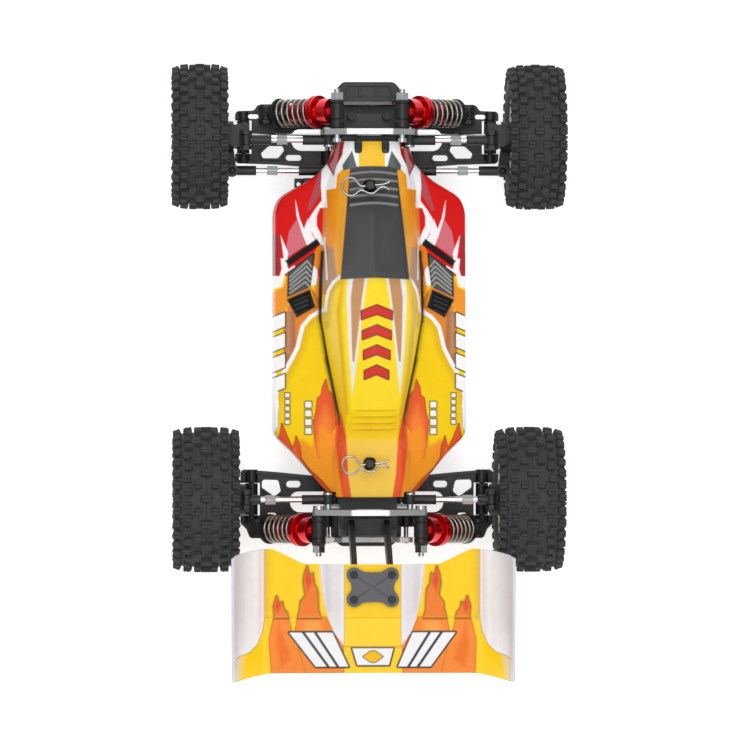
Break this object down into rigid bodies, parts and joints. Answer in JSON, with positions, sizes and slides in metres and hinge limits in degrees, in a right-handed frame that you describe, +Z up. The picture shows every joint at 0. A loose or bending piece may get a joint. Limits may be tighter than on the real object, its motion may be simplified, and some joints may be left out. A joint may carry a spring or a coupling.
{
  "type": "radio controlled off-road buggy",
  "caption": "Radio-controlled four-wheel-drive off-road buggy with wishbone suspension, coil-over shocks, linked steering, full drive train, yellow body shell and high rear wing.",
  "frame": {"origin": "on the ground under the middle of the overall length and width, 24.3 mm behind the midpoint of the axles", "axes": "+Y to the nose, +X to the driver's right, +Z up from the ground"},
  "size_m": [0.187, 0.2926, 0.107],
  "materials": {
    "dark_alloy": "satin anodised",
    "silver_alloy": "brushed",
    "black_nylon": "moulded, fine grain",
    "grey_nylon": "moulded, fine grain",
    "steel": "turned",
    "spring_steel": "bright",
    "red_alloy": "red anodised",
    "shell_film": "painted polycarbonate, glossy",
    "wing_film": "painted polycarbonate, glossy",
    "tyre_rubber": "matt",
    "rim_plastic": "satin moulded",
    "motor_can": "drawn steel can",
    "battery_wrap": "shrink wrap",
    "gear_steel": "machined"
  },
  "bodies": {
    "chassis": {"chassis_plate": "dark_alloy", "front_bumper": "black_nylon", "front_gearbox": "black_nylon", "rear_gearbox": "black_nylon", "front_shock_tower": "silver_alloy", "rear_shock_tower": "silver_alloy", "body_shell": "shell_film", "body_clips": "steel", "rear_wing": "wing_film", "wing_mount": "black_nylon", "wing_plate": "grey_nylon", "motor": "motor_can", "battery_pack": "battery_wrap", "control_box": "black_nylon", "steering_servo": "black_nylon", "hinge_pins_and_screws": "steel", "shock_springs": "spring_steel"},
    "centre_drive": {"center_shaft": "gear_steel"},
    "motor_rotor": {"motor_pinion": "gear_steel"},
    "front_diff": {"front_differential": "gear_steel"},
    "rear_diff": {"rear_differential": "gear_steel"},
    "horn": {"servo_horn": "black_nylon"},
    "idler": {"idler_arm": "black_nylon"},
    "cross_link": {"drag_link": "black_nylon"},
    "front_right_arm": {"front_lower_arm_right": "black_nylon"},
    "front_right_hub": {"front_hub_carrier_right": "black_nylon"},
    "front_right_wheel": {"front_rim_right": "rim_plastic", "front_tyre_right": "tyre_rubber"},
    "front_right_camber_link": {"front_camber_link_right": "steel"},
    "front_right_shock_body": {"front_shock_body_right": "red_alloy"},
    "front_right_shock_shaft": {"front_shock_shaft_right": "steel"},
    "front_right_drive_shaft": {"front_drive_shaft_right": "steel"},
    "front_right_knuckle": {"steering_knuckle_right": "black_nylon"},
    "right_tie_rod": {"tie_rod_right": "steel"},
    "front_left_arm": {"front_lower_arm_left": "black_nylon"},
    "front_left_hub": {"front_hub_carrier_left": "black_nylon"},
    "front_left_wheel": {"front_rim_left": "rim_plastic", "front_tyre_left": "tyre_rubber"},
    "front_left_camber_link": {"front_camber_link_left": "steel"},
    "front_left_shock_body": {"front_shock_body_left": "red_alloy"},
    "front_left_shock_shaft": {"front_shock_shaft_left": "steel"},
    "front_left_drive_shaft": {"front_drive_shaft_left": "steel"},
    "front_left_knuckle": {"steering_knuckle_left": "black_nylon"},
    "left_tie_rod": {"tie_rod_left": "steel"},
    "rear_right_arm": {"rear_lower_arm_right": "black_nylon"},
    "rear_right_hub": {"rear_hub_carrier_right": "black_nylon"},
    "rear_right_wheel": {"rear_rim_right": "rim_plastic", "rear_tyre_right": "tyre_rubber"},
    "rear_right_camber_link": {"rear_camber_link_right": "steel"},
    "rear_right_shock_body": {"rear_shock_body_right": "red_alloy"},
    "rear_right_shock_shaft": {"rear_shock_shaft_right": "steel"},
    "rear_right_drive_shaft": {"rear_drive_shaft_right": "steel"},
    "rear_left_arm": {"rear_lower_arm_left": "black_nylon"},
    "rear_left_hub": {"rear_hub_carrier_left": "black_nylon"},
    "rear_left_wheel": {"rear_rim_left": "rim_plastic", "rear_tyre_left": "tyre_rubber"},
    "rear_left_camber_link": {"rear_camber_link_left": "steel"},
    "rear_left_shock_body": {"rear_shock_body_left": "red_alloy"},
    "rear_left_shock_shaft": {"rear_shock_shaft_left": "steel"},
    "rear_left_drive_shaft": {"rear_drive_shaft_left": "steel"}
  },
  "joints": [
    {"name": "front_right_suspension", "type": "hinge", "parent": "chassis", "child": "front_right_arm", "pos_m": [0.019, 0.1113, 0.026], "axis": [0, -1, 0], "range_deg": [-9, 11], "stiffness_Nm_per_rad": 0.6, "springref_deg": -11.46},
    {"name": "front_right_hub_hinge", "type": "hinge", "parent": "front_right_arm", "child": "front_right_hub", "pos_m": [0.0595, 0.1113, 0.026], "axis": [0, -1, 0], "range_deg": [-10.99, 8.99]},
    {"name": "front_right_link_hinge", "type": "hinge", "parent": "chassis", "child": "front_right_camber_link", "pos_m": [0.0192, 0.1089, 0.053], "axis": [0, -1, 0], "range_deg": [-9.28, 11.34]},
    {"name": "front_right_shock_swing", "type": "hinge", "parent": "chassis", "child": "front_right_shock_body", "pos_m": [0.0155, 0.1223, 0.06], "axis": [0, -1, 0], "range_deg": [-3.85, 4.7]},
    {"name": "front_right_shock_slide", "type": "slide", "parent": "front_right_shock_body", "child": "front_right_shock_shaft", "axis": [0.7568, 0, -0.6536], "range_m": [-0.00455, 0.00372], "deforming": ["shock_springs"]},
    {"name": "front_right_shaft_spin", "type": "hinge", "parent": "front_right_arm", "child": "front_right_drive_shaft", "pos_m": [0.018, 0.1113, 0.035], "axis": [-1, 0, 0], "continuous": true},
    {"name": "right_knuckle_turn", "type": "hinge", "parent": "front_right_hub", "child": "front_right_knuckle", "pos_m": [0.065, 0.1113, 0.035], "axis": [0, 0, 1], "range_deg": [-22, 22]},
    {"name": "right_tie_rod_hinge", "type": "hinge", "parent": "cross_link", "child": "right_tie_rod", "pos_m": [0.0195, 0.095, 0.0355], "axis": [0, -1, 0], "range_deg": [-8.01, 9.79]},
    {"name": "front_right_wheel_spin", "type": "hinge", "parent": "front_right_knuckle", "child": "front_right_wheel", "pos_m": [0.0805, 0.1113, 0.035], "axis": [-1, 0, 0], "continuous": true},
    {"name": "front_left_suspension", "type": "hinge", "parent": "chassis", "child": "front_left_arm", "pos_m": [-0.019, 0.1113, 0.026], "axis": [0, 1, 0], "range_deg": [-9, 11], "stiffness_Nm_per_rad": 0.6, "springref_deg": -11.46},
    {"name": "front_left_hub_hinge", "type": "hinge", "parent": "front_left_arm", "child": "front_left_hub", "pos_m": [-0.0595, 0.1113, 0.026], "axis": [0, 1, 0], "range_deg": [-10.99, 8.99]},
    {"name": "front_left_link_hinge", "type": "hinge", "parent": "chassis", "child": "front_left_camber_link", "pos_m": [-0.0192, 0.1089, 0.053], "axis": [0, 1, 0], "range_deg": [-9.28, 11.34]},
    {"name": "front_left_shock_swing", "type": "hinge", "parent": "chassis", "child": "front_left_shock_body", "pos_m": [-0.0155, 0.1223, 0.06], "axis": [0, 1, 0], "range_deg": [-3.85, 4.7]},
    {"name": "front_left_shock_slide", "type": "slide", "parent": "front_left_shock_body", "child": "front_left_shock_shaft", "axis": [-0.7568, 0, -0.6536], "range_m": [-0.00455, 0.00372]},
    {"name": "front_left_shaft_spin", "type": "hinge", "parent": "front_left_arm", "child": "front_left_drive_shaft", "pos_m": [-0.018, 0.1113, 0.035], "axis": [-1, 0, 0], "continuous": true},
    {"name": "steering", "type": "hinge", "parent": "front_left_hub", "child": "front_left_knuckle", "pos_m": [-0.065, 0.1113, 0.035], "axis": [0, 0, 1], "range_deg": [-22, 22]},
    {"name": "left_tie_rod_hinge", "type": "hinge", "parent": "cross_link", "child": "left_tie_rod", "pos_m": [-0.0195, 0.095, 0.0355], "axis": [0, 1, 0], "range_deg": [-8.01, 9.79]},
    {"name": "front_left_wheel_spin", "type": "hinge", "parent": "front_left_knuckle", "child": "front_left_wheel", "pos_m": [-0.0805, 0.1113, 0.035], "axis": [-1, 0, 0], "continuous": true},
    {"name": "rear_right_suspension", "type": "hinge", "parent": "chassis", "child": "rear_right_arm", "pos_m": [0.019, -0.0627, 0.026], "axis": [0, -1, 0], "range_deg": [-9, 11], "stiffness_Nm_per_rad": 0.8, "springref_deg": -11.46},
    {"name": "rear_right_hub_hinge", "type": "hinge", "parent": "rear_right_arm", "child": "rear_right_hub", "pos_m": [0.0555, -0.0627, 0.026], "axis": [0, -1, 0], "range_deg": [-11.03, 9.02]},
    {"name": "rear_right_link_hinge", "type": "hinge", "parent": "chassis", "child": "rear_right_camber_link", "pos_m": [0.0196, -0.0624, 0.053], "axis": [0, -1, 0], "range_deg": [-8.44, 10.32]},
    {"name": "rear_right_shock_swing", "type": "hinge", "parent": "chassis", "child": "rear_right_shock_body", "pos_m": [0.0243, -0.0767, 0.063], "axis": [0, -1, 0], "range_deg": [-3.86, 4.71]},
    {"name": "rear_right_shock_slide", "type": "slide", "parent": "rear_right_shock_body", "child": "rear_right_shock_shaft", "axis": [0.667, 0, -0.7451], "range_m": [-0.00554, 0.00454]},
    {"name": "rear_right_shaft_spin", "type": "hinge", "parent": "rear_right_arm", "child": "rear_right_drive_shaft", "pos_m": [0.018, -0.0627, 0.035], "axis": [-1, 0, 0], "continuous": true},
    {"name": "drive", "type": "hinge", "parent": "rear_right_hub", "child": "rear_right_wheel", "pos_m": [0.0775, -0.0627, 0.035], "axis": [-1, 0, 0], "continuous": true},
    {"name": "rear_left_suspension", "type": "hinge", "parent": "chassis", "child": "rear_left_arm", "pos_m": [-0.019, -0.0627, 0.026], "axis": [0, 1, 0], "range_deg": [-9, 11], "stiffness_Nm_per_rad": 0.8, "springref_deg": -11.46},
    {"name": "rear_left_hub_hinge", "type": "hinge", "parent": "rear_left_arm", "child": "rear_left_hub", "pos_m": [-0.0555, -0.0627, 0.026], "axis": [0, 1, 0], "range_deg": [-11.03, 9.02]},
    {"name": "rear_left_link_hinge", "type": "hinge", "parent": "chassis", "child": "rear_left_camber_link", "pos_m": [-0.0196, -0.0624, 0.053], "axis": [0, 1, 0], "range_deg": [-8.44, 10.32]},
    {"name": "rear_left_shock_swing", "type": "hinge", "parent": "chassis", "child": "rear_left_shock_body", "pos_m": [-0.0243, -0.0767, 0.063], "axis": [0, 1, 0], "range_deg": [-3.86, 4.71]},
    {"name": "rear_left_shock_slide", "type": "slide", "parent": "rear_left_shock_body", "child": "rear_left_shock_shaft", "axis": [-0.667, 0, -0.7451], "range_m": [-0.00554, 0.00454]},
    {"name": "rear_left_shaft_spin", "type": "hinge", "parent": "rear_left_arm", "child": "rear_left_drive_shaft", "pos_m": [-0.018, -0.0627, 0.035], "axis": [-1, 0, 0], "continuous": true},
    {"name": "rear_left_wheel_spin", "type": "hinge", "parent": "rear_left_hub", "child": "rear_left_wheel", "pos_m": [-0.0775, -0.0627, 0.035], "axis": [-1, 0, 0], "continuous": true},
    {"name": "front_diff_spin", "type": "hinge", "parent": "chassis", "child": "front_diff", "pos_m": [0, 0.1113, 0.035], "axis": [-1, 0, 0], "continuous": true},
    {"name": "rear_diff_spin", "type": "hinge", "parent": "chassis", "child": "rear_diff", "pos_m": [0, -0.0627, 0.035], "axis": [-1, 0, 0], "continuous": true},
    {"name": "centre_shaft_spin", "type": "hinge", "parent": "chassis", "child": "centre_drive", "pos_m": [0, 0.0178, 0.035], "axis": [0, 1, 0], "continuous": true},
    {"name": "motor_spin", "type": "hinge", "parent": "chassis", "child": "motor_rotor", "pos_m": [-0.02157, 0.0178, 0.0312], "axis": [0, 1, 0], "continuous": true},
    {"name": "horn_turn", "type": "hinge", "parent": "chassis", "child": "horn", "pos_m": [-0.013, 0.0863, 0.042], "axis": [0, 0, 1], "range_deg": [-22, 22]},
    {"name": "idler_turn", "type": "hinge", "parent": "chassis", "child": "idler", "pos_m": [0.013, 0.0863, 0.042], "axis": [0, 0, 1], "range_deg": [-22, 22]},
    {"name": "cross_link_turn", "type": "hinge", "parent": "horn", "child": "cross_link", "pos_m": [-0.013, 0.07, 0.0395], "axis": [0, 0, 1], "range_deg": [-22, 22]}
  ],
  "couplings": [
    {"joint": "front_right_hub_hinge", "follows": "front_right_suspension", "ratio": -0.99882},
    {"joint": "front_right_link_hinge", "follows": "front_right_suspension", "ratio": 1.0307},
    {"joint": "front_right_shock_swing", "follows": "front_right_suspension", "ratio": 0.42707},
    {"joint": "front_right_shock_slide", "follows": "front_right_suspension", "m_per_rad": -0.023697},
    {"joint": "front_right_shaft_spin", "follows": "drive", "ratio": 1},
    {"joint": "right_knuckle_turn", "follows": "steering", "ratio": 1},
    {"joint": "right_tie_rod_hinge", "follows": "front_right_suspension", "ratio": 0.88948},
    {"joint": "front_right_wheel_spin", "follows": "drive", "ratio": 1},
    {"joint": "front_left_hub_hinge", "follows": "front_left_suspension", "ratio": -0.99882},
    {"joint": "front_left_link_hinge", "follows": "front_left_suspension", "ratio": 1.0307},
    {"joint": "front_left_shock_swing", "follows": "front_left_suspension", "ratio": 0.42707},
    {"joint": "front_left_shock_slide", "follows": "front_left_suspension", "m_per_rad": -0.023697},
    {"joint": "front_left_shaft_spin", "follows": "drive", "ratio": 1},
    {"joint": "left_tie_rod_hinge", "follows": "front_left_suspension", "ratio": 0.88948},
    {"joint": "front_left_wheel_spin", "follows": "drive", "ratio": 1},
    {"joint": "rear_right_hub_hinge", "follows": "rear_right_suspension", "ratio": -1.0023},
    {"joint": "rear_right_link_hinge", "follows": "rear_right_suspension", "ratio": 0.93774},
    {"joint": "rear_right_shock_swing", "follows": "rear_right_suspension", "ratio": 0.42839},
    {"joint": "rear_right_shock_slide", "follows": "rear_right_suspension", "m_per_rad": -0.028868},
    {"joint": "rear_right_shaft_spin", "follows": "drive", "ratio": 1},
    {"joint": "rear_left_hub_hinge", "follows": "rear_left_suspension", "ratio": -1.0023},
    {"joint": "rear_left_link_hinge", "follows": "rear_left_suspension", "ratio": 0.93774},
    {"joint": "rear_left_shock_swing", "follows": "rear_left_suspension", "ratio": 0.42839},
    {"joint": "rear_left_shock_slide", "follows": "rear_left_suspension", "m_per_rad": -0.028868},
    {"joint": "rear_left_shaft_spin", "follows": "drive", "ratio": 1},
    {"joint": "rear_left_wheel_spin", "follows": "drive", "ratio": 1},
    {"joint": "front_diff_spin", "follows": "drive", "ratio": 1},
    {"joint": "rear_diff_spin", "follows": "drive", "ratio": 1},
    {"joint": "centre_shaft_spin", "follows": "drive", "ratio": -2.9231},
    {"joint": "motor_spin", "follows": "drive", "ratio": 4.9801},
    {"joint": "horn_turn", "follows": "steering", "ratio": 1},
    {"joint": "idler_turn", "follows": "steering", "ratio": 1},
    {"joint": "cross_link_turn", "follows": "steering", "ratio": -1}
  ]
}
